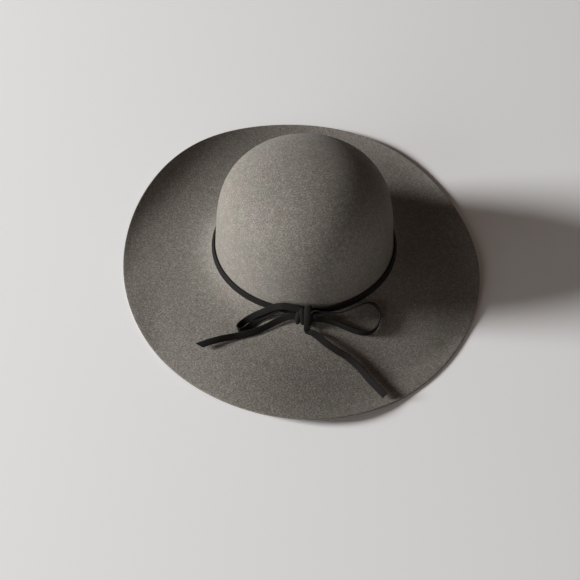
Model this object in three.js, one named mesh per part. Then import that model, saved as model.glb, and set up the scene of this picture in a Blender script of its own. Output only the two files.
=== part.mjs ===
// Soft wide-brimmed felt hat with a round crown and a lace tied round it in a bow.
// Millimetres, +Z up. The hat rests on the floor z = 0, and the origin lies on
// the floor under the middle of the brim. The bow is at the front, towards -Y.
import * as THREE from 'three';

// Felt hood
const RING_LENGTH = 183;      // outside of the crown, along X
const RING_DEPTH = 170;       // outside of the crown, along Y
const CROWN_HEIGHT = 125;     // from the strap line to the top
const DOME_POWER = 4.4;       // higher is a squarer shoulder
const FOOT_FLARE = 0.06;      // share by which the crown widens down to its foot
const FELT_WALL = 2.0;
const BRIM_WIDTH = 112;       // measured along the felt
const FOOT_ROUND = 8;         // length over which the wall bends out into the brim
const WALL_SLOPE = 0.995;     // sine of the slope of the crown's wall at the foot
const APRON_SLOPE = 0.63;     // sine of the slope of the brim just past the bend
const EDGE_CURL = 1.5;        // higher keeps the rise or fall of the edge nearer the edge

// How the soft brim lies on the floor
const LEAN_DEGREES = 4.5;     // the crown leans this much out of upright
const LEAN_TOWARDS = 158;     // degrees round the hat from +X
const PRESSED = 2.0;          // depth that the lowest felt would sink, pressed flat instead
const PRESS_EASE = 1.0;       // height over which the pressed felt lifts off the floor

// Lace
const LACE_WIDTH = 7;
const LACE_THICKNESS = 1.6;
const LACE_CHAMFER = 0.5;     // along the width, at each edge of the loose lace
const LACE_CLEARANCE = 0.3;
const STRAP_DROP = 2;         // from the crown's foot down the felt to the strap's middle
const STRAP_BRIDGE = 0.9;     // hollow of the bend that the flat strap bridges
const TAIL_CUT = 0.85;        // slant of the left tail's cut end: rise over width

// Knot, in the slope of the brim: across, down the slope, and off the felt
const KNOT_HALF_WIDTH = 5.5;
const KNOT_HALF_LENGTH = 12;
const KNOT_HALF_THICKNESS = 4.2;
const KNOT_SIDE = 2.2;        // the knot sits this far to the right of the middle
const KNOT_SEAT = 7;          // distance down the felt from the foot to the knot's middle
const KNOT_TILT = 48;         // degrees that the knot's back leans with the felt

// Size of the knot's sections from side to side, as shares of its half sizes
const KNOT_SECTIONS = [
  { across: -1, size: 0.82 },
  { across: -0.7, size: 0.93 },
  { across: -0.25, size: 1 },
  { across: 0.25, size: 1 },
  { across: 0.7, size: 0.93 },
  { across: 1, size: 0.82 },
];

// Fineness of the solids
const ROUND_STEPS = 64;
const CROWN_ROWS = 10;
const BRIM_ROWS = 14;
const KNOT_SIDES = 12;
const LOOP_STEPS = 44;
const TAIL_STEPS = 32;
const WALK_STEPS = 64;
const ROW_CROWDING = 1.5;     // higher puts more rows near the foot
const DOME_CROWDING = 2.2;    // higher puts more rows near the top
const LEAST_RUN = 0.1;        // share of each step of the brim that always goes outwards
const TINY_ANGLE = 1e-9;

// The waves of the brim, one row each 30 degrees round the hat from +X.
// edge: fall of the edge below the strap line, belly: extra fall halfway out,
// reach: width of the brim there. All are shares of BRIM_WIDTH.
const BRIM_WAVES = [
  { edge: 0.29, belly: 0.15, reach: 0.96 },
  { edge: 0.28, belly: 0.15, reach: 0.96 },
  { edge: 0.19, belly: 0.14, reach: 0.99 },
  { edge: 0.12, belly: 0.16, reach: 1.0 },
  { edge: 0.0, belly: 0.12, reach: 0.97 },
  { edge: -0.09, belly: 0.13, reach: 0.93 },
  { edge: 0.03, belly: 0.09, reach: 0.94 },
  { edge: 0.13, belly: 0.05, reach: 1.0 },
  { edge: 0.13, belly: 0.01, reach: 1.07 },
  { edge: 0.17, belly: 0.1, reach: 1.11 },
  { edge: 0.31, belly: 0.16, reach: 1.07 },
  { edge: 0.35, belly: 0.07, reach: 1.0 },
];

// Routes of the bow's lace, chosen by eye. x and y are the place in plan from
// the crown's axis, lift is the height of the lace's middle above the felt under
// it, roll turns the lace about its length: 0 lies flat, 90 stands on its edge.
const LEFT_TAIL = [
  { x: -4.9, y: -99, lift: 6.1, roll: 52 },
  { x: -14.5, y: -97.8, lift: 6.4, roll: 46 },
  { x: -23, y: -99, lift: 5.4, roll: 42 },
  { x: -31.5, y: -102, lift: 4.4, roll: 42 },
  { x: -40, y: -106, lift: 3.8, roll: 42 },
  { x: -51, y: -111, lift: 3.5, roll: 40 },
  { x: -62.5, y: -114.5, lift: 3.4, roll: 36 },
  { x: -71.5, y: -117, lift: 3.4, roll: 28 },
  { x: -80, y: -119.5, lift: 4.4, roll: 34 },
  { x: -88, y: -122, lift: 5.4, roll: 32 },
  { x: -98, y: -125.5, lift: 6.2, roll: 14 },
  { x: -109, y: -130, lift: 6.8, roll: 8 },
];
const RIGHT_TAIL = [
  { x: 2.2, y: -111, lift: 4.4, roll: 2 },
  { x: 7.3, y: -113.7, lift: 5.8, roll: -14 },
  { x: 14.5, y: -119, lift: 6.4, roll: -30 },
  { x: 23, y: -125.3, lift: 6.3, roll: -36 },
  { x: 32.5, y: -130.7, lift: 5.6, roll: -38 },
  { x: 42, y: -135.1, lift: 4.8, roll: -38 },
  { x: 50, y: -140.8, lift: 4.3, roll: -38 },
  { x: 57.5, y: -148.2, lift: 4.5, roll: -38 },
  { x: 65, y: -157.6, lift: 4.8, roll: -36 },
  { x: 80.5, y: -176.3, lift: 5.4, roll: -32 },
];
const LEFT_LOOP = [
  { x: -5.2, y: -95.2, lift: 12.3, roll: 50 },
  { x: -14, y: -93.5, lift: 13, roll: 50 },
  { x: -24, y: -91.5, lift: 13, roll: 48 },
  { x: -32.5, y: -90.5, lift: 10.5, roll: 46 },
  { x: -42, y: -91.5, lift: 7.6, roll: 40 },
  { x: -50.5, y: -93, lift: 5.2, roll: 30 },
  { x: -58.5, y: -96.2, lift: 3.8, roll: 22 },
  { x: -65.3, y: -101.2, lift: 3.8, roll: 34 },
  { x: -70.2, y: -107.2, lift: 4.4, roll: 72 },
  { x: -68.4, y: -110.4, lift: 4.2, roll: 94 },
  { x: -62.5, y: -108.6, lift: 3.4, roll: 128 },
  { x: -56.5, y: -103.5, lift: 2.5, roll: 160 },
  { x: -51.5, y: -98.2, lift: 2, roll: 170 },
  { x: -45.5, y: -94.8, lift: 2.1, roll: 170 },
  { x: -39, y: -93, lift: 3.6, roll: 158 },
  { x: -31.5, y: -91.3, lift: 6.6, roll: 142 },
  { x: -23.5, y: -90, lift: 9.4, roll: 134 },
  { x: -14.5, y: -91.8, lift: 9.8, roll: 130 },
  { x: -5.2, y: -93.5, lift: 9.3, roll: 130 },
];
const RIGHT_LOOP = [
  { x: 8.5, y: -96, lift: 12, roll: 60 },
  { x: 17, y: -95.5, lift: 10.3, roll: 58 },
  { x: 26.5, y: -94.5, lift: 8.5, roll: 56 },
  { x: 36, y: -92.5, lift: 7.5, roll: 54 },
  { x: 45.5, y: -88.5, lift: 7, roll: 54 },
  { x: 54, y: -84, lift: 6.4, roll: 56 },
  { x: 62, y: -80, lift: 5.9, roll: 60 },
  { x: 68, y: -78, lift: 5.6, roll: 66 },
  { x: 73.5, y: -78.5, lift: 5.1, roll: 74 },
  { x: 77.5, y: -83, lift: 4.7, roll: 82 },
  { x: 79, y: -89.5, lift: 4.5, roll: 88 },
  { x: 77.5, y: -96, lift: 4.3, roll: 90 },
  { x: 74, y: -102.5, lift: 4.3, roll: 88 },
  { x: 68, y: -107, lift: 4.3, roll: 84 },
  { x: 59.5, y: -108.5, lift: 4.3, roll: 80 },
  { x: 50, y: -107, lift: 4.4, roll: 76 },
  { x: 40.5, y: -104.5, lift: 4.9, roll: 74 },
  { x: 30, y: -102, lift: 6, roll: 72 },
  { x: 18.5, y: -101, lift: 7.8, roll: 70 },
  { x: 8.5, y: -102, lift: 10.5, roll: 70 },
];

const TURN = 2 * Math.PI;
const radians = THREE.MathUtils.degToRad;
const footRise = FOOT_ROUND * (1 - APRON_SLOPE);

// A value of the waves at any angle: a smooth periodic curve through the rows.
function wave(column, angle) {
  const count = BRIM_WAVES.length;
  let sum = 0;
  BRIM_WAVES.forEach((row, index) => {
    const away = angle - (index * TURN) / count;
    const half = Math.sin(away / 2);
    const weight = Math.abs(half) < TINY_ANGLE
      ? 1
      : (Math.sin((count * away) / 2) * Math.cos(away / 2)) / (count * half);
    sum += weight * row[column];
  });
  return sum;
}

// Radius of the crown's oval at an angle.
function ringRadius(angle) {
  const halfX = RING_LENGTH / 2;
  const halfY = RING_DEPTH / 2;
  return (halfX * halfY) / Math.hypot(halfY * Math.cos(angle), halfX * Math.sin(angle));
}

// Outer face of the crown. share runs from 0 at the foot to 1 at the top.
function crownPoint(angle, share) {
  const flare = 1 + FOOT_FLARE * (1 - share) ** 2;
  const radius = ringRadius(angle) * flare * Math.sqrt(Math.max(0, 1 - share ** DOME_POWER));
  const height = footRise + (CROWN_HEIGHT - footRise) * share;
  return new THREE.Vector3(radius * Math.cos(angle), radius * Math.sin(angle), height);
}

// Upper face of the brim at an angle, walked outwards from the foot in small
// steps: each step's fall comes from the waves and from the bend at the foot.
function brimWalk(angle) {
  const edge = wave('edge', angle);
  const belly = wave('belly', angle);
  const width = BRIM_WIDTH * wave('reach', angle);
  const fallAt = (s) =>
    BRIM_WIDTH * (edge * s ** EDGE_CURL + 4 * belly * s * s * (1 - s) + APRON_SLOPE * s * (1 - s) ** 3);
  let radius = ringRadius(angle) * (1 + FOOT_FLARE);
  let height = footRise;
  let share = 0;
  const walk = [{ share, radius, height }];
  for (let step = 1; step <= WALK_STEPS; step += 1) {
    const next = (step / WALK_STEPS) ** ROW_CROWDING;
    const length = width * (next - share);
    const along = (width * (next + share)) / 2;
    const plainFall = fallAt(next) - fallAt(share);
    const fall = plainFall + (WALL_SLOPE * length - plainFall) * Math.exp(-along / FOOT_ROUND);
    radius += Math.sqrt(Math.max(length ** 2 - fall ** 2, (LEAST_RUN * length) ** 2));
    height -= fall;
    share = next;
    walk.push({ share, radius, height });
  }
  return walk;
}

// A row of the walk where the named column reaches a value.
function walkAt(walk, column, value) {
  const last = walk.length - 1;
  let index = 1;
  while (index < last && walk[index][column] < value) {
    index += 1;
  }
  const from = walk[index - 1];
  const to = walk[index];
  const part = THREE.MathUtils.clamp((value - from[column]) / (to[column] - from[column]), 0, 1);
  return {
    radius: THREE.MathUtils.lerp(from.radius, to.radius, part),
    height: THREE.MathUtils.lerp(from.height, to.height, part),
  };
}

function brimPoint(angle, share) {
  const { radius, height } = walkAt(brimWalk(angle), 'share', share);
  return new THREE.Vector3(radius * Math.cos(angle), radius * Math.sin(angle), height);
}

// The hat leans a little as its soft brim lies.
const leanAxis = new THREE.Vector3(
  -Math.sin(radians(LEAN_TOWARDS)),
  Math.cos(radians(LEAN_TOWARDS)),
  0,
);
const lean = new THREE.Quaternion().setFromAxisAngle(leanAxis, radians(LEAN_DEGREES));

// Outer face of the whole hood, from the top of the crown to the brim's edge.
const feltRings = [];
for (let row = 1; row < CROWN_ROWS; row += 1) {
  const share = 1 - (row / CROWN_ROWS) ** DOME_CROWDING;
  feltRings.push((angle) => crownPoint(angle, share));
}
for (let row = 0; row <= BRIM_ROWS; row += 1) {
  const share = (row / BRIM_ROWS) ** ROW_CROWDING;
  feltRings.push((angle) => brimPoint(angle, share));
}
const angles = Array.from({ length: ROUND_STEPS }, (_, step) => (step * TURN) / ROUND_STEPS);
const leaningFelt = feltRings.map((ring) => angles.map((angle) => ring(angle).applyQuaternion(lean)));

// The place of the hat over the floor: its lowest felt is pressed, and the
// middle of the brim's outline is over the origin.
const feltBox = new THREE.Box3().setFromPoints(leaningFelt.flat());
const place = new THREE.Vector3(
  -(feltBox.min.x + feltBox.max.x) / 2,
  -(feltBox.min.y + feltBox.max.y) / 2,
  FELT_WALL - PRESSED - feltBox.min.z,
);

// Felt that would go through the floor lies flat on it.
function pressFlat(point) {
  const over = point.z - FELT_WALL;
  if (over < -PRESS_EASE) {
    point.z = FELT_WALL;
  } else if (over < PRESS_EASE) {
    point.z = FELT_WALL + (over + PRESS_EASE) ** 2 / (4 * PRESS_EASE);
  }
  return point;
}

function settle(point) {
  return point.applyQuaternion(lean).add(place);
}

// Closed mesh from rings of points: walls between the rings, and a flat cap at
// each end. A hoop joins its last ring to its first and has no caps.
function solidFromRings(rings, { hoop = false } = {}) {
  const around = rings[0].length;
  const positions = rings.flat().flatMap((point) => [point.x, point.y, point.z]);
  const triangles = [];
  const rows = hoop ? rings.length : rings.length - 1;
  for (let row = 0; row < rows; row += 1) {
    const next = (row + 1) % rings.length;
    for (let side = 0; side < around; side += 1) {
      const beside = (side + 1) % around;
      const a = row * around + side;
      const b = row * around + beside;
      const c = next * around + beside;
      const d = next * around + side;
      triangles.push(a, b, c, a, c, d);
    }
  }
  if (!hoop) {
    const last = (rings.length - 1) * around;
    for (let side = 1; side < around - 1; side += 1) {
      triangles.push(0, side + 1, side);
      triangles.push(last, last + side, last + side + 1);
    }
  }
  return closedGeometry(positions, triangles);
}

function closedGeometry(positions, triangles) {
  const geometry = new THREE.BufferGeometry();
  geometry.setAttribute('position', new THREE.Float32BufferAttribute(positions, 3));
  geometry.setIndex(triangles);
  geometry.computeVertexNormals();
  return geometry;
}

// Felt hood: the outer face, an inner face one wall inside it, and a cut edge.
function feltGeometry() {
  const outer = feltRings.map((ring) => angles.map((angle) => pressFlat(settle(ring(angle)))));
  const top = pressFlat(settle(crownPoint(0, 1)));
  const crownUp = new THREE.Vector3(0, 0, 1).applyQuaternion(lean);
  const topInside = top.clone().addScaledVector(crownUp, -FELT_WALL);
  const last = outer.length - 1;
  const inner = outer.map((ring, row) =>
    ring.map((point, step) => {
      const above = row === 0 ? top : outer[row - 1][step];
      const below = outer[Math.min(row + 1, last)][step];
      const left = ring[(step + ROUND_STEPS - 1) % ROUND_STEPS];
      const right = ring[(step + 1) % ROUND_STEPS];
      const down = below.clone().sub(above);
      const round = right.clone().sub(left);
      const normal = down.cross(round).normalize();
      return point.clone().addScaledVector(normal, -FELT_WALL);
    }));
  const rings = [...outer, ...inner.reverse()];
  const points = [top, ...rings.flat(), topInside];
  const triangles = [];
  const vertex = (row, step) => 1 + row * ROUND_STEPS + (step % ROUND_STEPS);
  const lastRow = rings.length - 1;
  for (let step = 0; step < ROUND_STEPS; step += 1) {
    triangles.push(0, vertex(0, step), vertex(0, step + 1));
    for (let row = 0; row < lastRow; row += 1) {
      const a = vertex(row, step);
      const b = vertex(row + 1, step);
      const c = vertex(row + 1, step + 1);
      const d = vertex(row, step + 1);
      triangles.push(a, b, c, a, c, d);
    }
    triangles.push(points.length - 1, vertex(lastRow, step + 1), vertex(lastRow, step));
  }
  return closedGeometry(points.flatMap((point) => [point.x, point.y, point.z]), triangles);
}

// Strap: a flat band round the crown's foot, leaning with the felt behind it.
function strapGeometry() {
  const slope = Math.asin(
    APRON_SLOPE + (WALL_SLOPE - APRON_SLOPE) * Math.exp(-STRAP_DROP / FOOT_ROUND),
  );
  const standOff = LACE_CLEARANCE + STRAP_BRIDGE + LACE_THICKNESS / 2;
  const corners = [
    [-LACE_WIDTH / 2, -LACE_THICKNESS / 2],
    [-LACE_WIDTH / 2, LACE_THICKNESS / 2],
    [LACE_WIDTH / 2, LACE_THICKNESS / 2],
    [LACE_WIDTH / 2, -LACE_THICKNESS / 2],
  ];
  const rings = angles.map((angle) => {
    const seat = walkAt(brimWalk(angle), 'share', STRAP_DROP / BRIM_WIDTH);
    return corners.map(([down, off]) => {
      const radius = seat.radius + down * Math.cos(slope) + (off + standOff) * Math.sin(slope);
      const height = seat.height - down * Math.sin(slope) + (off + standOff) * Math.cos(slope);
      return settle(new THREE.Vector3(radius * Math.cos(angle), radius * Math.sin(angle), height));
    });
  });
  return solidFromRings(rings, { hoop: true });
}

// Knot: a rounded block across the strap, its sides flat where the lace enters.
function knotGeometry() {
  const tilt = radians(KNOT_TILT);
  const front = -TURN / 4;
  const seat = walkAt(brimWalk(front), 'share', KNOT_SEAT / BRIM_WIDTH);
  const across = new THREE.Vector3(1, 0, 0);
  const downSlope = new THREE.Vector3(0, -Math.cos(tilt), -Math.sin(tilt));
  const offFelt = new THREE.Vector3(0, -Math.sin(tilt), Math.cos(tilt));
  const standOff = STRAP_BRIDGE + LACE_THICKNESS + 2 * LACE_CLEARANCE + KNOT_HALF_THICKNESS;
  const middle = new THREE.Vector3(KNOT_SIDE, -seat.radius, seat.height)
    .addScaledVector(offFelt, standOff);
  const turns = Array.from({ length: KNOT_SIDES }, (_, side) => (side * TURN) / KNOT_SIDES);
  const rings = KNOT_SECTIONS.map((section) => turns.map((turn) =>
    settle(middle.clone()
      .addScaledVector(across, section.across * KNOT_HALF_WIDTH)
      .addScaledVector(downSlope, Math.sin(turn) * KNOT_HALF_LENGTH * section.size)
      .addScaledVector(offFelt, Math.cos(turn) * KNOT_HALF_THICKNESS * section.size))));
  return solidFromRings(rings);
}

// A point over the felt: plan place from the crown's axis, and a height above it.
function overFelt({ x, y, lift }) {
  const angle = Math.atan2(y, x);
  const { height } = walkAt(brimWalk(angle), 'radius', Math.hypot(x, y));
  const point = pressFlat(settle(new THREE.Vector3(x, y, height)));
  point.z += lift;
  return point;
}

// A length of lace along a route, with a chamfered flat section. cut slants its
// far end: each point of the last ring moves along the lace by cut times its place.
function laceGeometry(route, steps, cut = 0) {
  const curve = new THREE.CatmullRomCurve3(route.map(overFelt), false, 'centripetal');
  const rolls = new THREE.CatmullRomCurve3(
    route.map((row, index) => new THREE.Vector3(index, radians(row.roll), 0)),
    false,
    'catmullrom',
  );
  const halfWidth = LACE_WIDTH / 2;
  const halfThick = LACE_THICKNESS / 2;
  const flat = halfWidth - LACE_CHAMFER;
  const section = [
    [-halfWidth, 0],
    [-flat, -halfThick],
    [flat, -halfThick],
    [halfWidth, 0],
    [flat, halfThick],
    [-flat, halfThick],
  ];
  const up = new THREE.Vector3(0, 0, 1);
  const rings = [];
  for (let step = 0; step <= steps; step += 1) {
    const t = step / steps;
    const slant = step === steps ? cut : 0;
    const point = curve.getPoint(t);
    const along = curve.getTangent(t);
    const side = along.clone().cross(up).normalize();
    const rise = side.clone().cross(along).normalize();
    const roll = rolls.getPoint(t).y;
    const across = side.multiplyScalar(Math.cos(roll)).addScaledVector(rise, Math.sin(roll));
    const through = along.clone().cross(across);
    rings.push(section.map(([wide, thick]) =>
      point.clone()
        .addScaledVector(across, wide)
        .addScaledVector(through, thick)
        .addScaledVector(along, slant * wide)));
  }
  return solidFromRings(rings);
}

const felt = new THREE.MeshStandardMaterial({ name: 'felt', color: '#8d867f', roughness: 0.95, metalness: 0 });
const lace = new THREE.MeshStandardMaterial({ name: 'lace', color: '#1d1b1a', roughness: 0.8, metalness: 0 });

function piece(name, geometry, material) {
  const mesh = new THREE.Mesh(geometry, material.clone());
  mesh.name = name;
  return mesh;
}

const hat = new THREE.Group();
hat.add(
  piece('felt_body', feltGeometry(), felt),
  piece('band_strap', strapGeometry(), lace),
  piece('bow_knot', knotGeometry(), lace),
  piece('bow_loop_left', laceGeometry(LEFT_LOOP, LOOP_STEPS), lace),
  piece('bow_loop_right', laceGeometry(RIGHT_LOOP, LOOP_STEPS), lace),
  piece('bow_tail_left', laceGeometry(LEFT_TAIL, TAIL_STEPS, TAIL_CUT), lace),
  piece('bow_tail_right', laceGeometry(RIGHT_TAIL, TAIL_STEPS), lace),
);

export default hat;
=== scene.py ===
# %% [markdown]
# # A soft felt hat with a lace bow
#
# The hat is one hood of soft wool felt: a round crown with no crease, and a
# wide brim that lies in slow waves on whatever it rests on. A flat dark lace
# goes once round the foot of the crown and is tied at the front in a bow.
#
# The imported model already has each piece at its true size, but in coarse
# faces. This script keeps that model as its frame, and makes fine surfaces
# in the same places, from the same named sizes and the same short tables.

import bpy
import numpy as np
from mathutils import Matrix, Vector


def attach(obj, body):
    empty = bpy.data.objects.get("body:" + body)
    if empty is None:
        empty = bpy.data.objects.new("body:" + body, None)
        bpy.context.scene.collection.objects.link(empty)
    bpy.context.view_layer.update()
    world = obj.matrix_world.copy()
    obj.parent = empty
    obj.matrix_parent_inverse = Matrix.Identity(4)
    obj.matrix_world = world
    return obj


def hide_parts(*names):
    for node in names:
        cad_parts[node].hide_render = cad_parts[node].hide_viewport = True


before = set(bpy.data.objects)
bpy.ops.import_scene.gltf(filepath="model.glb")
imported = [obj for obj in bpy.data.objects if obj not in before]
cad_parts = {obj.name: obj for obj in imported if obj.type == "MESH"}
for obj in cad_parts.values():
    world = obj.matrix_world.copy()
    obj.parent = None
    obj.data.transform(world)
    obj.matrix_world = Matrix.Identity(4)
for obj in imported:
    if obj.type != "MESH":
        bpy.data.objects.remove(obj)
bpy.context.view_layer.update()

MM = 0.001
print("nodes:", ", ".join(sorted(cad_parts)))

# %% [markdown]
# ## The sizes
#
# A shape that two programs make has to come from one set of numbers. These
# are the hat's sizes in millimetres. The waves of the brim are one row each
# 30 degrees round the hat, as shares of the brim's width: how far the edge
# falls, how far the felt bellies down on the way, and how far it reaches.

# %% Sizes of the hood
RING_LENGTH = 183
RING_DEPTH = 170
CROWN_HEIGHT = 125
DOME_POWER = 4.4
FOOT_FLARE = 0.06
FELT_WALL = 2.0
BRIM_WIDTH = 112
FOOT_ROUND = 8
WALL_SLOPE = 0.995
APRON_SLOPE = 0.63
EDGE_CURL = 1.5
LEAN_DEGREES = 4.5
LEAN_TOWARDS = 158
PRESSED = 2.0
PRESS_EASE = 1.0
WALK_STEPS = 64
ROW_CROWDING = 1.5
CROWN_CROWDING = 2.2
LEAST_RUN = 0.1
FOOT_RISE = FOOT_ROUND * (1 - APRON_SLOPE)
TURN = 2 * np.pi
NEARLY_ZERO = 1e-9

BRIM_EDGE = np.array([0.29, 0.28, 0.19, 0.12, 0, -0.09, 0.03, 0.13, 0.13, 0.17, 0.31, 0.35])
BRIM_BELLY = np.array([0.15, 0.15, 0.14, 0.16, 0.12, 0.13, 0.09, 0.05, 0.01, 0.1, 0.16, 0.07])
BRIM_REACH = np.array([0.96, 0.96, 0.99, 1, 0.97, 0.93, 0.94, 1, 1.07, 1.11, 1.07, 1])
print("rows of waves:", len(BRIM_EDGE))

# %% [markdown]
# ## The surface of the hood
#
# A blocked felt hood could be a lathe shape, but only the crown is near to
# one: the brim's fall changes all the way round. So the surface is a function
# of two parameters, the angle round the hat and a share of the way along the
# felt. On the brim the felt can't stretch, so it is walked outwards in small
# steps of fixed length, and each step falls as the waves say.

# %% Waves, crown and brim as functions
def wave(rows, angle):
    """Smooth periodic curve through the rows: each row counts by
    sin(n a / 2) cos(a / 2) / (n sin(a / 2)), a being the angle away from it."""
    count = len(rows)
    away = np.asarray(angle, float)[..., None] - np.arange(count) * TURN / count
    half = np.sin(away / 2)
    at_row = np.abs(half) < NEARLY_ZERO
    half = np.where(at_row, 1, half)
    weight = np.sin(count * away / 2) * np.cos(away / 2) / (count * half)
    return np.where(at_row, 1, weight) @ rows


def ring_radius(angle):
    """Radius of the crown's oval: a b / hypot(b cos, a sin)."""
    half_x, half_y = RING_LENGTH / 2, RING_DEPTH / 2
    return half_x * half_y / np.hypot(half_y * np.cos(angle), half_x * np.sin(angle))


def crown_surface(angle, share):
    """Outer face of the crown, share 0 at the foot and 1 at the top: the oval
    times its flare times the square root of 1 minus share to the dome's power."""
    flare = 1 + FOOT_FLARE * (1 - share) ** 2
    radius = ring_radius(angle) * flare * np.sqrt(np.maximum(0, 1 - share**DOME_POWER))
    height = FOOT_RISE + (CROWN_HEIGHT - FOOT_RISE) * share
    return np.stack([radius * np.cos(angle), radius * np.sin(angle), height + 0 * radius], -1)


WALK = (np.arange(WALK_STEPS + 1) / WALK_STEPS) ** ROW_CROWDING


def brim_walk(angle):
    """Radius and height of the brim's upper face at the shares in WALK. Each
    step has its length along the felt and falls by the waves' curve, which
    near the foot eases into the steep wall. The rest of its length runs out."""
    angle = np.asarray(angle, float)[:, None]
    edge = wave(BRIM_EDGE, angle[:, 0])[:, None]
    belly = wave(BRIM_BELLY, angle[:, 0])[:, None]
    width = BRIM_WIDTH * wave(BRIM_REACH, angle[:, 0])[:, None]
    fall_curve = BRIM_WIDTH * (edge * WALK**EDGE_CURL + 4 * belly * WALK**2 * (1 - WALK)
                               + APRON_SLOPE * WALK * (1 - WALK) ** 3)
    length = width * np.diff(WALK)
    along = width * (WALK[1:] + WALK[:-1]) / 2
    fall = np.diff(fall_curve, axis=1)
    fall = fall + (WALL_SLOPE * length - fall) * np.exp(-along / FOOT_ROUND)
    run = np.sqrt(np.maximum(length**2 - fall**2, (LEAST_RUN * length) ** 2))
    start = np.zeros_like(angle)
    radius = ring_radius(angle) * (1 + FOOT_FLARE) + np.hstack([start, np.cumsum(run, 1)])
    height = FOOT_RISE - np.hstack([start, np.cumsum(fall, 1)])
    return radius, height


def at_walk(angle, share):
    """Radius and height of the brim at one share of its width, for each angle:
    a straight line between the two steps on either side."""
    radius, height = brim_walk(angle)
    reach = [np.interp(share, WALK, row) for row in radius]
    level = [np.interp(share, WALK, row) for row in height]
    return np.array(reach), np.array(level)


front_reach, front_level = at_walk(np.array([-TURN / 4]), 1)
print("the brim's edge at the front is", front_reach.round(1), "mm out and at", front_level.round(1))


# %% [markdown]
# ## How the hat lies
#
# The hat leans a little, because its soft brim does not hold it upright. A
# rotation matrix leans it, a shift puts it on the floor, and the lowest felt,
# which would sink, is pressed flat on the floor instead.

# %% Lean, place and press
SOLID_AROUND = 64
SOLID_CROWN_ROWS = 10
SOLID_BRIM_ROWS = 14

lean_axis = Vector((-np.sin(np.radians(LEAN_TOWARDS)), np.cos(np.radians(LEAN_TOWARDS)), 0))
LEAN = np.array(Matrix.Rotation(np.radians(LEAN_DEGREES), 3, lean_axis))


def coarse_box():
    """Lowest and highest corner of the leaning hood, taken from as few angles
    and rows as the frame's solid has, so that both lie in the same place."""
    angle = np.arange(SOLID_AROUND) * TURN / SOLID_AROUND
    rows = [crown_surface(angle, 1 - (row / SOLID_CROWN_ROWS) ** CROWN_CROWDING)
            for row in range(1, SOLID_CROWN_ROWS)]
    for row in range(SOLID_BRIM_ROWS + 1):
        reach, level = at_walk(angle, (row / SOLID_BRIM_ROWS) ** ROW_CROWDING)
        rows.append(np.stack([reach * np.cos(angle), reach * np.sin(angle), level], -1))
    points = np.concatenate(rows) @ LEAN.T
    return points.min(0), points.max(0)


low, high = coarse_box()
PLACE = np.array([-(low[0] + high[0]) / 2, -(low[1] + high[1]) / 2, FELT_WALL - PRESSED - low[2]])


def settle(points):
    """Points of the upright hat, turned by the lean and moved to their place."""
    return points @ LEAN.T + PLACE


def press(points):
    """The upper face stays one wall above the floor: heights below it become
    flat, and over twice the ease they lift off along a parabola."""
    over = points[..., 2] - FELT_WALL
    eased = FELT_WALL + (over + PRESS_EASE) ** 2 / (4 * PRESS_EASE)
    height = np.where(over < -PRESS_EASE, FELT_WALL, np.where(over < PRESS_EASE, eased, points[..., 2]))
    return np.concatenate([points[..., :2], height[..., None]], -1)


print("place of the crown's axis over the floor in mm:", PLACE.round(2))

# %% [markdown]
# ## The camera
#
# The photo is taken from the front and well above, with a longish lens. A
# picture of a hat is judged by its outline, so the camera is made first and
# the rest is fitted to its view. A constraint could aim it, but a matrix built
# from its three directions needs nothing else in the file. It is squared to the
# crown's own axis, so its place is given for the upright hat and then leant.

# %% Camera
CAMERA_ELEVATION = 53.5
CAMERA_DISTANCE = 1144
CAMERA_TARGET = np.array([-15.6, -73.6, 13.0])
CAMERA_LENS = 68.1
PICTURE_WIDTH = 36
NEAREST_SEEN = 0.05

rise = np.radians(CAMERA_ELEVATION)
back = np.array([0, -np.cos(rise), np.sin(rise)])
camera_up = LEAN @ np.array([0, np.sin(rise), np.cos(rise)])
camera_back = LEAN @ back
camera_place = settle(CAMERA_TARGET + CAMERA_DISTANCE * back) * MM
camera_data = bpy.data.cameras.new("camera")
camera_data.lens = CAMERA_LENS
camera_data.sensor_width = PICTURE_WIDTH
camera_data.clip_start = NEAREST_SEEN
camera = bpy.data.objects.new("camera", camera_data)
bpy.context.scene.collection.objects.link(camera)
camera_right = np.cross(camera_up, camera_back)
turned = Matrix([list(row) for row in np.stack([camera_right, camera_up, camera_back], 1)])
camera.matrix_world = Matrix.Translation(Vector(camera_place)) @ turned.to_4x4()
bpy.context.scene.camera = camera
print("camera at", camera_place.round(3))

# %% [markdown]
# ## From a grid of points to a mesh
#
# Every new piece here is a grid: rows along one parameter, columns along the
# other. One helper joins neighbours into four-sided faces, closes the ends,
# and hands whole arrays to Blender, which is far quicker than adding faces
# one at a time. It also keeps two lengths along the surface as a UV map, in
# metres, so that grain can follow the piece.

# %% Mesh from a grid
def new_mesh(name, points, faces, uv=None):
    """An object with a smooth mesh: points in mm, faces as rows of corner
    numbers, and uv as one pair for each corner of each face."""
    mesh = bpy.data.meshes.new(name)
    mesh.from_pydata((points * MM).tolist(), [], faces)
    mesh.polygons.foreach_set("use_smooth", np.ones(len(mesh.polygons), bool))
    if uv is not None:
        layer = mesh.uv_layers.new(name="lengths")
        layer.data.foreach_set("uv", np.asarray(uv, np.float32).ravel())
    mesh.update()
    thing = bpy.data.objects.new(name, mesh)
    bpy.context.scene.collection.objects.link(thing)
    return thing


def grid_faces(rows, columns, hoop=False):
    """Corner numbers of the faces between rows, each row closed on itself. A
    hoop joins the last row to the first too."""
    last = rows if hoop else rows - 1
    row = np.repeat(np.arange(last), columns)
    column = np.tile(np.arange(columns), last)
    after, beside = (row + 1) % rows, (column + 1) % columns
    corners = [row * columns + column, row * columns + beside,
               after * columns + beside, after * columns + column]
    return np.stack(corners, 1)


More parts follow.
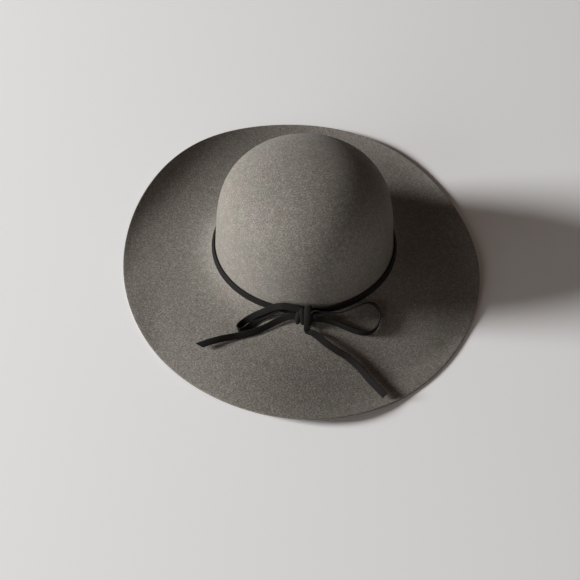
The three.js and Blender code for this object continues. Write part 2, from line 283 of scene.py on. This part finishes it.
def grid_uv(rows, columns, row_length, column_length, hoop=False):
    """Lengths in metres at the four corners of each face of grid_faces: the
    share of the rows and of the columns times their whole lengths in mm."""
    last = rows if hoop else rows - 1
    row = np.repeat(np.arange(last), columns).astype(float)
    column = np.tile(np.arange(columns), last).astype(float)
    u = np.stack([row, row, row + 1, row + 1], 1) * row_length * MM / rows
    v = np.stack([column, column + 1, column + 1, column], 1) * column_length * MM / columns
    return np.stack([u, v], -1)


print("a hoop of 3 rows and 4 columns has", len(grid_faces(3, 4, hoop=True)), "faces")

# %% [markdown]
# ## The hood
#
# Felt has the same thickness everywhere, so the inner face is the outer one
# moved inwards along its normals. The brim's edge is cut, not sewn: its two
# corners are worn round. Solidify could make the wall, but working it out
# here keeps the same wall as the frame's solid, pressed felt and all.

# %% Both faces of the felt and its edge
AROUND = 300
CROWN_ROWS = 60
EDGE_ROWS = 7
EDGE_BULGE = 0.35
EDGE_SQUARENESS = 0.5

angle = np.arange(AROUND) * TURN / AROUND
crown_rows = [crown_surface(angle, 1 - (row / CROWN_ROWS) ** CROWN_CROWDING)
              for row in range(1, CROWN_ROWS)]
brim_radius, brim_height = brim_walk(angle)
brim_rows = np.stack([brim_radius * np.cos(angle)[:, None],
                      brim_radius * np.sin(angle)[:, None], brim_height], -1).transpose(1, 0, 2)
outer = press(settle(np.concatenate([np.stack(crown_rows), brim_rows])))
top = settle(np.array([0, 0, CROWN_HEIGHT]))


def normals_of(rows, pole):
    """Unit normals of a grid: the step down the rows crossed with the step
    round the columns, both over two cells."""
    first = np.broadcast_to(pole, rows[:1].shape)
    padded = np.concatenate([first, rows, rows[-1:]])
    down = padded[2:] - padded[:-2]
    along = np.roll(rows, -1, 1) - np.roll(rows, 1, 1)
    normal = np.cross(down, along)
    return normal / np.linalg.norm(normal, axis=-1, keepdims=True)


normal = normals_of(outer, top)
inner = outer - FELT_WALL * normal
outward = outer[-1] - outer[-2]
outward /= np.linalg.norm(outward, axis=-1, keepdims=True)
middle = (outer[-1] + inner[-1]) / 2
bend = np.linspace(0, np.pi, EDGE_ROWS + 2)[1:-1, None, None]
across = np.sign(np.cos(bend)) * np.abs(np.cos(bend)) ** EDGE_SQUARENESS
bulge = np.sin(bend) ** EDGE_SQUARENESS * EDGE_BULGE
edge = middle + across * normal[-1] * FELT_WALL / 2 + bulge * outward

# %% Felt hood as a closed mesh

rows = np.concatenate([outer, edge, inner[::-1]])
top_inside = top - FELT_WALL * LEAN @ np.array([0, 0, 1])
points = np.concatenate([rows.reshape(-1, 3), [top, top_inside]])
faces = grid_faces(len(rows), AROUND)[:, ::-1].tolist()
column = np.arange(AROUND)
beside = (column + 1) % AROUND
last_row = (len(rows) - 1) * AROUND
top_number = np.full(AROUND, len(points) - 2)
inside_number = np.full(AROUND, len(points) - 1)
faces += np.stack([top_number, column, beside], 1).tolist()
faces += np.stack([inside_number, last_row + beside, last_row + column], 1).tolist()
hood = new_mesh("felt_hood", points, faces)
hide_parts("felt_body")
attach(hood, "root")
print("felt hood:", len(points), "points,", len(faces), "faces")

# %% [markdown]
# ## Lace
#
# The lace is a flat strip of dark suede with soft edges. A curve with a bevel
# could carry it, but its turn about its own length matters here: the loops
# stand almost on edge, and the tails turn their broad side to the light. So a
# flat rounded section is carried along each route, rolled by the angle that
# the route's table gives.

# %% Lace section
LACE_WIDTH = 7
LACE_THICKNESS = 1.6
LACE_CLEARANCE = 0.3
LACE_ROUND = 2 * LACE_WIDTH
SECTION_POINTS = 28
SECTION_POWER = 4

turns = np.arange(SECTION_POINTS) * TURN / SECTION_POINTS


def rounded(value):
    """Sign times the magnitude to the power that squares the section off."""
    return np.sign(value) * np.abs(value) ** (2 / SECTION_POWER)


SECTION = np.stack([rounded(np.cos(turns)) * LACE_WIDTH / 2,
                    rounded(np.sin(turns)) * LACE_THICKNESS / 2], 1)
print("section of the lace:", np.ptp(SECTION, axis=0).round(2), "mm")

# %% Routes of the lace
# x and y in plan from the crown's axis, lift over the felt, roll in degrees
LEFT_TAIL = np.array([
    (-4.9, -99, 6.1, 52), (-14.5, -97.8, 6.4, 46), (-23, -99, 5.4, 42), (-31.5, -102, 4.4, 42),
    (-40, -106, 3.8, 42), (-51, -111, 3.5, 40), (-62.5, -114.5, 3.4, 36), (-71.5, -117, 3.4, 28),
    (-80, -119.5, 4.4, 34), (-88, -122, 5.4, 32), (-98, -125.5, 6.2, 14), (-109, -130, 6.8, 8)])
RIGHT_TAIL = np.array([
    (2.2, -111, 4.4, 2), (7.3, -113.7, 5.8, -14), (14.5, -119, 6.4, -30), (23, -125.3, 6.3, -36),
    (32.5, -130.7, 5.6, -38), (42, -135.1, 4.8, -38), (50, -140.8, 4.3, -38),
    (57.5, -148.2, 4.5, -38), (65, -157.6, 4.8, -36), (80.5, -176.3, 5.4, -32)])
LEFT_LOOP = np.array([
    (-5.2, -95.2, 12.3, 50), (-14, -93.5, 13, 50), (-24, -91.5, 13, 48), (-32.5, -90.5, 10.5, 46),
    (-42, -91.5, 7.6, 40), (-50.5, -93, 5.2, 30), (-58.5, -96.2, 3.8, 22), (-65.3, -101.2, 3.8, 34),
    (-70.2, -107.2, 4.4, 72), (-68.4, -110.4, 4.2, 94), (-62.5, -108.6, 3.4, 128),
    (-56.5, -103.5, 2.5, 160), (-51.5, -98.2, 2, 170), (-45.5, -94.8, 2.1, 170),
    (-39, -93, 3.6, 158), (-31.5, -91.3, 6.6, 142), (-23.5, -90, 9.4, 134),
    (-14.5, -91.8, 9.8, 130), (-5.2, -93.5, 9.3, 130)])
RIGHT_LOOP = np.array([
    (8.5, -96, 12, 60), (17, -95.5, 10.3, 58), (26.5, -94.5, 8.5, 56), (36, -92.5, 7.5, 54),
    (45.5, -88.5, 7, 54), (54, -84, 6.4, 56), (62, -80, 5.9, 60), (68, -78, 5.6, 66),
    (73.5, -78.5, 5.1, 74), (77.5, -83, 4.7, 82), (79, -89.5, 4.5, 88), (77.5, -96, 4.3, 90),
    (74, -102.5, 4.3, 88), (68, -107, 4.3, 84), (59.5, -108.5, 4.3, 80), (50, -107, 4.4, 76),
    (40.5, -104.5, 4.9, 74), (30, -102, 6, 72), (18.5, -101, 7.8, 70), (8.5, -102, 10.5, 70)])
print("points in the routes:", [len(route) for route in (LEFT_TAIL, RIGHT_TAIL, LEFT_LOOP, RIGHT_LOOP)])


# %% Carrying the section along a route
def over_felt(route):
    """Points of a route: its plan place on the brim's upper face, then lifted."""
    angle = np.arctan2(route[:, 1], route[:, 0])
    radius, height = brim_walk(angle)
    reach = np.hypot(route[:, 0], route[:, 1])
    felt = np.array([np.interp(r, line_r, line_h) for r, line_r, line_h in zip(reach, radius, height)])
    points = press(settle(np.stack([route[:, 0], route[:, 1], felt], 1)))
    points[:, 2] += route[:, 2]
    return points


def smooth_curve(points, steps, power):
    """Catmull-Rom curve through the points and its direction. Spans count by
    their length to the given power: 0.5 is centripetal, 0 is uniform."""
    ends = [2 * points[:1] - points[1:2], points, 2 * points[-1:] - points[-2:-1]]
    line = np.concatenate(ends)
    place = np.linspace(0, len(points) - 1, steps + 1)
    span = np.minimum(place.astype(int), len(points) - 2)
    t = (place - span)[:, None]
    p0, p1, p2, p3 = line[span], line[span + 1], line[span + 2], line[span + 3]
    gap = [np.linalg.norm(b - a, axis=1, keepdims=True) ** power
           for a, b in ((p0, p1), (p1, p2), (p2, p3))]
    start = ((p1 - p0) / gap[0] - (p2 - p0) / (gap[0] + gap[1]) + (p2 - p1) / gap[1]) * gap[1]
    end = ((p2 - p1) / gap[1] - (p3 - p1) / (gap[1] + gap[2]) + (p3 - p2) / gap[2]) * gap[1]
    c2 = -3 * p1 + 3 * p2 - 2 * start - end
    c3 = 2 * p1 - 2 * p2 + start + end
    curve = p1 + start * t + c2 * t**2 + c3 * t**3
    direction = start + 2 * c2 * t + 3 * c3 * t**2
    return curve, direction / np.linalg.norm(direction, axis=1, keepdims=True)


def carried(centre, along, roll, section):
    """Rings of a section carried along a line: its width lies level across the
    line where roll is 0 and turns about the line by roll."""
    side = np.cross(along, [0, 0, 1])
    side /= np.linalg.norm(side, axis=1, keepdims=True)
    rise = np.cross(side, along)
    across = side * np.cos(roll)[:, None] + rise * np.sin(roll)[:, None]
    through = np.cross(along, across)
    return (centre[:, None] + section[None, :, :1] * across[:, None]
            + section[None, :, 1:] * through[:, None])


print("right tail rises to", over_felt(RIGHT_TAIL)[:, 2].max().round(1), "mm over the floor")

# %% [markdown]
# ## The strap
#
# The same lace goes round the foot of the crown. It is stiff enough to stay
# flat where the wall bends out into the brim, so it bridges that hollow. It is
# a hoop: the same section at each angle, leaning with the felt behind it.

# %% Strap
STRAP_DROP = 2
STRAP_BRIDGE = 0.9
STRAP_STEPS = 360

angle = np.arange(STRAP_STEPS) * TURN / STRAP_STEPS
seat_radius, seat_height = at_walk(angle, STRAP_DROP / BRIM_WIDTH)
slope = np.arcsin(APRON_SLOPE + (WALL_SLOPE - APRON_SLOPE) * np.exp(-STRAP_DROP / FOOT_ROUND))
stand_off = LACE_CLEARANCE + STRAP_BRIDGE + LACE_THICKNESS / 2
down, off = SECTION[:, 0], SECTION[:, 1] + stand_off
radius = seat_radius[:, None] + down * np.cos(slope) + off * np.sin(slope)
height = seat_height[:, None] - down * np.sin(slope) + off * np.cos(slope)
rings = np.stack([radius * np.cos(angle)[:, None], radius * np.sin(angle)[:, None], height], -1)
strap_faces = grid_faces(STRAP_STEPS, SECTION_POINTS, hoop=True)[:, ::-1]
strap_length = TURN * radius.mean()
strap_uv = grid_uv(STRAP_STEPS, SECTION_POINTS, strap_length, LACE_ROUND, hoop=True)[:, ::-1]
strap = new_mesh("lace_strap", settle(rings).reshape(-1, 3), strap_faces.tolist(), strap_uv)
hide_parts("band_strap")
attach(strap, "root")
print("strap is", round(strap_length), "mm round")

# %% [markdown]
# ## The knot
#
# In a bow, one lace is wound over the bundle of the others. What shows is that
# winding, pulled tight and a little askew. Sculpting could make it, but three
# hoops of the same flat lace, each a little shorter than the one on its right,
# give its folds from a few sizes. A plain core fills the bundle inside them.

# %% Place of the knot
KNOT_SIDE = 2.2
KNOT_SEAT = 7
KNOT_TILT = 48
KNOT_HALF_THICKNESS = 4.2

tilt = np.radians(KNOT_TILT)
seat_radius, seat_height = at_walk(np.array([-TURN / 4]), KNOT_SEAT / BRIM_WIDTH)
sideways = np.array([1.0, 0, 0])
down_slope = np.array([0, -np.cos(tilt), -np.sin(tilt)])
off_felt = np.array([0, -np.sin(tilt), np.cos(tilt)])
over_strap = STRAP_BRIDGE + LACE_THICKNESS + 2 * LACE_CLEARANCE + KNOT_HALF_THICKNESS
knot_middle = np.array([KNOT_SIDE, -seat_radius[0], seat_height[0]]) + over_strap * off_felt


def by_the_knot(aside, lengthwise, outwards):
    """Points settled on the hat from three distances to the knot's middle: to
    the side, down the slope and off the felt."""
    return settle(knot_middle + aside[..., None] * sideways + lengthwise[..., None] * down_slope
                  + outwards[..., None] * off_felt)


print("middle of the knot in mm:", settle(knot_middle).round(1))

# %% Windings and core
HOOP_STEPS = 96
HOOP_LENGTH = 60
CORE_RINGS = 9
CORE_SIDES = 24
CORE_TAPER = 0.75
CORE_SLIP = 1
CORE_HALF_LENGTH = 9
CORE_HALF_THICKNESS = 3
CORE_HALF_WIDTH = 5.2

# place aside, slip up the slope, slant, half length, half thickness, width, pinch, curl
WINDINGS = [(0.8, 1, -0.05, 11.4, 5.0, 10.4, 0.22, 1.5), (-4.8, 1, 0.05, 9.8, 4.2, 7.6, 0.3, 1.3),
            (-9.2, -0.5, -0.15, 7.8, 3.6, 6.6, 0.35, 1.3)]


def winding(place, slip, slant, half_length, half_thickness, width, pinch, curl):
    """A closed hoop of flat lace: an oval in the plane of the slope and the way
    off the felt. It narrows by pinch where it turns under, its edges curl in by
    curl times the square of their share of the width, and it runs aslant by
    slant times the distance along it."""
    turn = (np.arange(HOOP_STEPS) * TURN / HOOP_STEPS)[:, None]
    share = SECTION[:, 0] / (LACE_WIDTH / 2)
    inwards = LACE_THICKNESS / 2 - SECTION[:, 1] + curl * share**2
    lengthwise = np.sin(turn) * (half_length - inwards)
    outwards = np.cos(turn) * (half_thickness - inwards)
    wide = share * width / 2 * (1 - pinch * np.sin(turn) ** 2)
    return by_the_knot(place + wide + slant * lengthwise, lengthwise - slip, outwards)


def core():
    """A barrel that fills the windings: rings of an oval, whose size falls off
    as the root of 1 minus the taper times the squared distance from its middle."""
    turn = np.arange(CORE_SIDES) * TURN / CORE_SIDES
    place = np.linspace(-1, 1, CORE_RINGS)[:, None]
    size = np.sqrt(1 - CORE_TAPER * place**2)
    lengthwise = size * np.sin(turn) * CORE_HALF_LENGTH - CORE_SLIP
    return by_the_knot(place * CORE_HALF_WIDTH + 0 * turn, lengthwise,
                       size * np.cos(turn) * CORE_HALF_THICKNESS)


print("windings of the knot:", len(WINDINGS))

# %% Knot as one mesh
knot_points, knot_faces, knot_uv = [], [], []
start = 0
for values in WINDINGS:
    knot_points.append(winding(*values).reshape(-1, 3))
    knot_faces += (grid_faces(HOOP_STEPS, SECTION_POINTS, hoop=True) + start).tolist()
    lengths = grid_uv(HOOP_STEPS, SECTION_POINTS, HOOP_LENGTH, LACE_ROUND, hoop=True)
    knot_uv.append(lengths.reshape(-1, 2))
    start += HOOP_STEPS * SECTION_POINTS
knot_points.append(core().reshape(-1, 3))
last_ring = start + (CORE_RINGS - 1) * CORE_SIDES
core_faces = (grid_faces(CORE_RINGS, CORE_SIDES) + start).tolist()
core_faces.append([start + side for side in reversed(range(CORE_SIDES))])
core_faces.append([last_ring + side for side in range(CORE_SIDES)])
knot_faces += core_faces
knot_uv.append(np.zeros((sum(len(face) for face in core_faces), 2)))
knot = new_mesh("lace_knot", np.concatenate(knot_points), knot_faces, np.concatenate(knot_uv))
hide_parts("bow_knot")
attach(knot, "root")
print("knot:", len(knot.data.vertices), "points")

# %% [markdown]
# ## Loops and tails of the bow
#
# Each is one length of lace. A loop goes out of the knot and back into it. A
# tail ends in a cut: the left one's is slanted, the right one's nearly square.
# The last rings of a tail shrink over a third of a millimetre, so that the cut
# has the slightly soft corners of real leather instead of a razor edge. Each
# piece starts inside the knot, as the real lace does.

# %% Line and turn of a length of lace
TUCK = 6.5
LACE_STEPS = 160
CENTRIPETAL = 0.5
ROLL_WINDOW = 17


def tucked(point):
    """A point further in: from a route's end towards the middle of the knot."""
    way = settle(knot_middle) - point
    return point + way / np.linalg.norm(way) * TUCK


def smooth_roll(turned):
    """The roll at each ring: straight between the route's points, then averaged
    over its neighbours with the weights of a raised cosine."""
    place = np.linspace(0, len(turned) - 1, LACE_STEPS + 1)
    roll = np.interp(place, np.arange(len(turned)), turned)
    weights = np.hanning(ROLL_WINDOW)[1:-1]
    padded = np.pad(roll, len(weights) // 2, mode="edge")
    return np.convolve(padded, weights / weights.sum(), mode="valid")


def lace_line(route, far_end):
    """Middles, directions and rolls of the rings along a route, with each end
    that is at the knot tucked in."""
    line, turned = over_felt(route), np.radians(route[:, 3])
    line, turned = np.concatenate([[tucked(line[0])], line]), np.concatenate([turned[:1], turned])
    if far_end == "object":
        line, turned = np.concatenate([line, [tucked(line[-1])]]), np.append(turned, turned[-1])
    centre, along = smooth_curve(line, LACE_STEPS, CENTRIPETAL)
    return centre, along, smooth_roll(turned)


print("rings along each length of lace:", LACE_STEPS + 1)

# %% Cut ends
CUT_ZONE = 0.9
CAP_ROUND = 0.35
CAP_ROWS = ((0.96, 0.55), (0.86, 0.9), (0.5, 1.0))


def slanted(rings, centre, along, cut):
    """Rings whose far end is cut aslant: each point moves along the lace by cut
    times its place across it, which grows as a square over the cut's zone."""
    passed = np.concatenate([[0], np.cumsum(np.linalg.norm(np.diff(centre, axis=0), axis=1))])
    left = passed[-1] - passed
    growth = cut * np.clip(1 - left / (LACE_WIDTH * CUT_ZONE), 0, 1) ** 2
    return rings + growth[:, None, None] * SECTION[None, :, :1] * along[:, None]


def cap_rows(ring, way):
    """Rows that close an end: the ring shrunk about its middle to the shares in
    CAP_ROWS, and pushed out by theirs of CAP_ROUND."""
    heart = ring.mean(0)
    return [heart + (ring - heart) * inset + way * CAP_ROUND * push for inset, push in CAP_ROWS]


print("rows that round a cut:", len(CAP_ROWS))


# %% Loops and tails
def closed_tube(name, rows, length):
    """A mesh from rings in order, with a fan of triangles over each end."""
    count = len(rows) * SECTION_POINTS
    points = np.concatenate([rows.reshape(-1, 3), [rows[0].mean(0), rows[-1].mean(0)]])
    side = np.arange(SECTION_POINTS)
    after = (side + 1) % SECTION_POINTS
    far = count - SECTION_POINTS
    near_fan = np.stack([np.full(SECTION_POINTS, count), after, side], 1)
    far_fan = np.stack([np.full(SECTION_POINTS, count + 1), far + side, far + after], 1)
    fans = np.concatenate([near_fan, far_fan])
    faces = grid_faces(len(rows), SECTION_POINTS).tolist() + fans.tolist()
    uv = grid_uv(len(rows), SECTION_POINTS, length, LACE_ROUND).reshape(-1, 2)
    return new_mesh(name, points, faces, np.concatenate([uv, np.zeros((fans.size, 2))]))


def lace_piece(name, node, route, far_end, cut=0.0):
    """A length of lace: the section carried along the route, cut and capped. The
    length of its middle line sets the lengths of its UV map and is printed."""
    centre, along, roll = lace_line(route, far_end)
    length = np.linalg.norm(np.diff(centre, axis=0), axis=1).sum()
    rings = slanted(carried(centre, along, roll, SECTION), centre, along, cut)
    near, far = cap_rows(rings[0], -along[0]), cap_rows(rings[-1], along[-1])
    piece = closed_tube(name, np.concatenate([near[::-1], rings, far]), length)
    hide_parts(node)
    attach(piece, "root")
    print(name, "is", round(length), "mm long")
    return piece


lace_pieces = [
    lace_piece("lace_loop_left", "bow_loop_left", LEFT_LOOP, "object"),
    lace_piece("lace_loop_right", "bow_loop_right", RIGHT_LOOP, "object"),
    lace_piece("lace_tail_left", "bow_tail_left", LEFT_TAIL, "bare", cut=0.85),
    lace_piece("lace_tail_right", "bow_tail_right", RIGHT_TAIL, "bare"),
    strap,
    knot,
]

# %% [markdown]
# ## Fine grain for felt and suede
#
# Felt and suede both end in short matted fibres. Up close that is a fine,
# slightly streaky grain. Hair particles would be far too heavy for it, so it is
# one node group, used by both materials with its own size: three noises, each
# pulled out along another direction, of which the highest wins at each point,
# as the fibre on top does.

# %% Fibre group
FIBRE_STRETCH = (0.4, 1, 1)
FIBRE_TURNS = ((0.3, 0.9, 0.2), (1.3, 0.1, 1.9), (2.4, 1.7, 0.8))
FIBRE_DETAIL = 2


def link(tree, start, end):
    """A wire in a node tree from one node's output to another's input."""
    tree.links.new(start, end)


def fibre_group():
    """A node group with coordinates and a size in, and out of it the height of
    the topmost fibre: the greatest of the stretched noises."""
    group = bpy.data.node_groups.new("matted_fibres", "ShaderNodeTree")
    face = group.interface
    face.new_socket("Coordinates", in_out="INPUT", socket_type="NodeSocketVector")
    face.new_socket("Fibres per metre", in_out="INPUT", socket_type="NodeSocketFloat")
    face.new_socket("Height", in_out="OUTPUT", socket_type="NodeSocketFloat")
    nodes = group.nodes
    entry = nodes.new("NodeGroupInput")
    leave = nodes.new("NodeGroupOutput")
    highest = None
    for turn in FIBRE_TURNS:
        mapping = nodes.new("ShaderNodeMapping")
        mapping.inputs["Rotation"].default_value = turn
        mapping.inputs["Scale"].default_value = FIBRE_STRETCH
        noise = nodes.new("ShaderNodeTexNoise")
        noise.inputs["Detail"].default_value = FIBRE_DETAIL
        link(group, entry.outputs["Coordinates"], mapping.inputs["Vector"])
        link(group, mapping.outputs["Vector"], noise.inputs["Vector"])
        link(group, entry.outputs["Fibres per metre"], noise.inputs["Scale"])
        if highest is None:
            highest = noise.outputs["Fac"]
        else:
            larger = nodes.new("ShaderNodeMath")
            larger.operation = "MAXIMUM"
            link(group, highest, larger.inputs[0])
            link(group, noise.outputs["Fac"], larger.inputs[1])
            highest = larger.outputs["Value"]
    link(group, highest, leave.inputs["Height"])
    return group


FIBRES = fibre_group()
print("node group:", FIBRES.name)

# %% Helpers for materials
MIX_SHARE, MIX_FIRST, MIX_SECOND, MIX_COLOUR = 0, 6, 7, 2


def colour(red, green, blue):
    """A colour as the eye names it, 0 to 255, turned to the linear light that
    shaders work in: ((c + 0.055) / 1.055) to the power 2.4."""
    value = np.array([red, green, blue]) / 255
    linear = np.where(value < 0.04045, value / 12.92, ((value + 0.055) / 1.055) ** 2.4)
    return (*linear.tolist(), 1.0)


def plain_material(name, base, roughness, specular):
    """A material with its colour, roughness and shine on the shader itself."""
    material = bpy.data.materials.new(name)
    material.use_nodes = True
    tree = material.node_tree
    shader = tree.nodes["Principled BSDF"]
    shader.inputs["Base Color"].default_value = base
    shader.inputs["Roughness"].default_value = roughness
    shader.inputs["Specular IOR Level"].default_value = specular
    return material, tree, shader


def noise_of(tree, source, per_metre, detail):
    """A noise over the source's coordinates, with so many spots to the metre."""
    noise = tree.nodes.new("ShaderNodeTexNoise")
    noise.inputs["Scale"].default_value = per_metre
    noise.inputs["Detail"].default_value = detail
    link(tree, source, noise.inputs["Vector"])
    return noise.outputs["Fac"]


def fibres_of(tree, source, per_metre):
    """The fibre group's height over the source's coordinates."""
    fibres = tree.nodes.new("ShaderNodeGroup")
    fibres.node_tree = FIBRES
    fibres.inputs["Fibres per metre"].default_value = per_metre
    link(tree, source, fibres.inputs["Coordinates"])
    return fibres.outputs["Height"]


def ranged(tree, source, low, high, start, end):
    """The source's values from low to high turned to start to end."""
    node = tree.nodes.new("ShaderNodeMapRange")
    node.inputs["From Min"].default_value = low
    node.inputs["From Max"].default_value = high
    node.inputs["To Min"].default_value = start
    node.inputs["To Max"].default_value = end
    link(tree, source, node.inputs["Value"])
    return node.outputs["Result"]


def mixed(tree, share, first, second):
    """first turned to second by share. Both are colours, or outputs that carry
    them. The Mix node has its colour sockets after those for numbers and
    vectors, at the places named above."""
    node = tree.nodes.new("ShaderNodeMix")
    node.data_type = "RGBA"
    link(tree, share, node.inputs[MIX_SHARE])
    for value, place in ((first, MIX_FIRST), (second, MIX_SECOND)):
        if isinstance(value, bpy.types.NodeSocket):
            link(tree, value, node.inputs[place])
        else:
            node.inputs[place].default_value = value
    return node.outputs[MIX_COLOUR]


def raise_nap(tree, shader, height, distance, strength):
    """Turns the shader's normal by the slope of the height, as a raised nap does."""
    bump = tree.nodes.new("ShaderNodeBump")
    bump.inputs["Distance"].default_value = distance
    bump.inputs["Strength"].default_value = strength
    link(tree, height, bump.inputs["Height"])
    link(tree, bump.outputs["Normal"], shader.inputs["Normal"])


print("a middle grey in linear light:", round(colour(128, 128, 128)[0], 3))

# %% [markdown]
# ## Felt
#
# The felt is a heather: wool of several dyes matted together, so from afar it
# is a warm grey, and close up it is flecked with lighter and darker spots and
# has faint pink and green clouds. The darker spots sit where the nap is low,
# so they are darker fibres and painted shade in the nap's hollows together.
# An image could hold that, but noises of three sizes on the piece's own
# coordinates do it at any distance.

# %% Felt material
FELT_ROUGHNESS = 0.95
FELT_SHINE = 0.15
FELT_SHEEN = 0.08
FELT_SHEEN_ROUGHNESS = 0.6
CLOUDS_PER_METRE = 38
SPOTS_PER_METRE = 190
SPOT_DETAIL = 3
FELT_FIBRES_PER_METRE = 1300
FELT_NAP = 0.001
FELT_NAP_STRENGTH = 0.9
FELT_COLOUR = colour(134, 126, 119)
PINK_CLOUD = colour(131, 123, 120)
GREEN_CLOUD = colour(118, 121, 110)
SPOT_COLOUR = colour(141, 137, 130)
# painted shade in the nap's hollows, together with the heather's darker fibres
DARK_FIBRE_AND_SHADE = colour(96, 90, 83)
TOP_FIBRE = colour(180, 174, 164)

felt, tree, shader = plain_material("felt", FELT_COLOUR, FELT_ROUGHNESS, FELT_SHINE)
shader.inputs["Sheen Weight"].default_value = FELT_SHEEN
shader.inputs["Sheen Roughness"].default_value = FELT_SHEEN_ROUGHNESS
place = tree.nodes.new("ShaderNodeTexCoord").outputs["Object"]
fibres = fibres_of(tree, place, FELT_FIBRES_PER_METRE)
clouds = ranged(tree, noise_of(tree, place, CLOUDS_PER_METRE, SPOT_DETAIL), 0.36, 0.64, 0, 1)
spots = ranged(tree, noise_of(tree, place, SPOTS_PER_METRE, SPOT_DETAIL), 0.35, 0.65, 0, 1)
# painted shade: darkest where the nap's height is lowest, in its hollows
dark_fibre_and_shade = ranged(tree, fibres, 0.5, 0.64, 0.9, 0)
high_up = ranged(tree, fibres, 0.64, 0.78, 0, 0.6)
tint = mixed(tree, clouds, PINK_CLOUD, GREEN_CLOUD)
tint = mixed(tree, spots, tint, SPOT_COLOUR)
tint = mixed(tree, dark_fibre_and_shade, tint, DARK_FIBRE_AND_SHADE)
tint = mixed(tree, high_up, tint, TOP_FIBRE)
link(tree, tint, shader.inputs["Base Color"])
raise_nap(tree, shader, fibres, FELT_NAP, FELT_NAP_STRENGTH)
hood.data.materials.append(felt)
print("felt material has", len(tree.nodes), "nodes")

# %% [markdown]
# ## Suede lace
#
# The lace is nearly black with a warm cast where light falls on it. Its nap is
# matt, and the tips of its fibres are a little paler. A plain dark colour would
# look like plastic, so the same fibre group gives it a nap. It reads the
# lengths along the lace, so the nap follows each loop.

# %% Lace material
LACE_ROUGHNESS = 0.8
LACE_SHINE = 0.12
LACE_SHEEN = 0.04
LACE_SHEEN_ROUGHNESS = 0.5
LACE_FIBRES_PER_METRE = 1500
LACE_NAP = 0.0003
LACE_NAP_STRENGTH = 0.5
LACE_COLOUR = colour(24, 22, 21)
LACE_DEPTH = colour(20, 19, 18)
LACE_TIPS = colour(42, 37, 33)

lace, tree, shader = plain_material("lace", LACE_COLOUR, LACE_ROUGHNESS, LACE_SHINE)
shader.inputs["Sheen Weight"].default_value = LACE_SHEEN
shader.inputs["Sheen Roughness"].default_value = LACE_SHEEN_ROUGHNESS
place = tree.nodes.new("ShaderNodeTexCoord").outputs["UV"]
fibres = fibres_of(tree, place, LACE_FIBRES_PER_METRE)
tips = ranged(tree, fibres, 0.55, 0.8, 0, 0.5)
link(tree, mixed(tree, tips, LACE_DEPTH, LACE_TIPS), shader.inputs["Base Color"])
raise_nap(tree, shader, fibres, LACE_NAP, LACE_NAP_STRENGTH)
for piece in lace_pieces:
    piece.data.materials.append(lace)
print("lace material has", len(tree.nodes), "nodes")

# %% [markdown]
# ## Light and floor
#
# In the photo a large lamp stands to the left and low, so the crown throws its
# shadow right across the brim, and the shadow's border is soft. A small lamp
# would give a hard border, and a dome of light none at all. So the key is a
# round lamp six metres off. A wide, weak light from the front left and a faint
# warm fill keep the shadow from going black. The floor is plain and pale.

# %% Lamps
KEY_AZIMUTH = 184
KEY_ELEVATION = 22.5
KEY_DISTANCE = 6
KEY_SIZE = 1.6
KEY_STRENGTH = 5.6
KEY_AIM_HEIGHT = 40
SIDE_AZIMUTH = 225
SIDE_ELEVATION = 12
SIDE_STRENGTH = 0.9
SIDE_SPREAD = 50
FILL_STRENGTH = 0.08
FILL_COLOUR = (1, 0.78, 0.65, 1)


def light_from(azimuth, elevation):
    """Unit vector towards a light from its two angles in degrees, leant with
    the hat: cosine and sine of the azimuth by the elevation's cosine, and the
    elevation's sine."""
    way, up = np.radians(azimuth), np.radians(elevation)
    return LEAN @ np.array([np.cos(up) * np.cos(way), np.cos(up) * np.sin(way), np.sin(up)])


def place_light(name, data, towards, place=(0, 0, 0)):
    """An object for a light, turned so that it shines back along towards."""
    lamp = bpy.data.objects.new(name, data)
    lamp.location = place
    lamp.rotation_euler = Vector(towards).to_track_quat("Z", "Y").to_euler()
    bpy.context.scene.collection.objects.link(lamp)


key_from = light_from(KEY_AZIMUTH, KEY_ELEVATION)
key_data = bpy.data.lights.new("key", "AREA")
key_data.shape = "DISK"
key_data.size = KEY_SIZE
key_data.energy = KEY_STRENGTH * np.pi * KEY_DISTANCE**2
key_place = settle(np.array([0, 0, KEY_AIM_HEIGHT])) * MM + key_from * KEY_DISTANCE
place_light("key", key_data, key_from, key_place)
side_data = bpy.data.lights.new("side", "SUN")
side_data.energy = SIDE_STRENGTH
side_data.angle = np.radians(SIDE_SPREAD)
place_light("side", side_data, light_from(SIDE_AZIMUTH, SIDE_ELEVATION))
print("key light from", key_from.round(2))

# %% Fill and floor
FLOOR_HALF = 12000.0
FLOOR_COLOUR = (0.9, 0.9, 0.9, 1)
FLOOR_ROUGHNESS = 0.9
FLOOR_SHINE = 0.1

world = bpy.data.worlds.new("studio")
world.use_nodes = True
background = world.node_tree.nodes["Background"]
background.inputs["Color"].default_value = FILL_COLOUR
background.inputs["Strength"].default_value = FILL_STRENGTH
bpy.context.scene.world = world
bpy.context.scene.view_settings.view_transform = "Standard"

floor_points = np.array([(-1, -1, 0), (1, -1, 0), (1, 1, 0), (-1, 1, 0)]) * FLOOR_HALF
floor = new_mesh("floor", floor_points, [[0, 1, 2, 3]])
floor_material, tree, shader = plain_material("floor", FLOOR_COLOUR, FLOOR_ROUGHNESS, FLOOR_SHINE)
floor.data.materials.append(floor_material)
print("floor is", 2 * FLOOR_HALF * MM, "m wide")
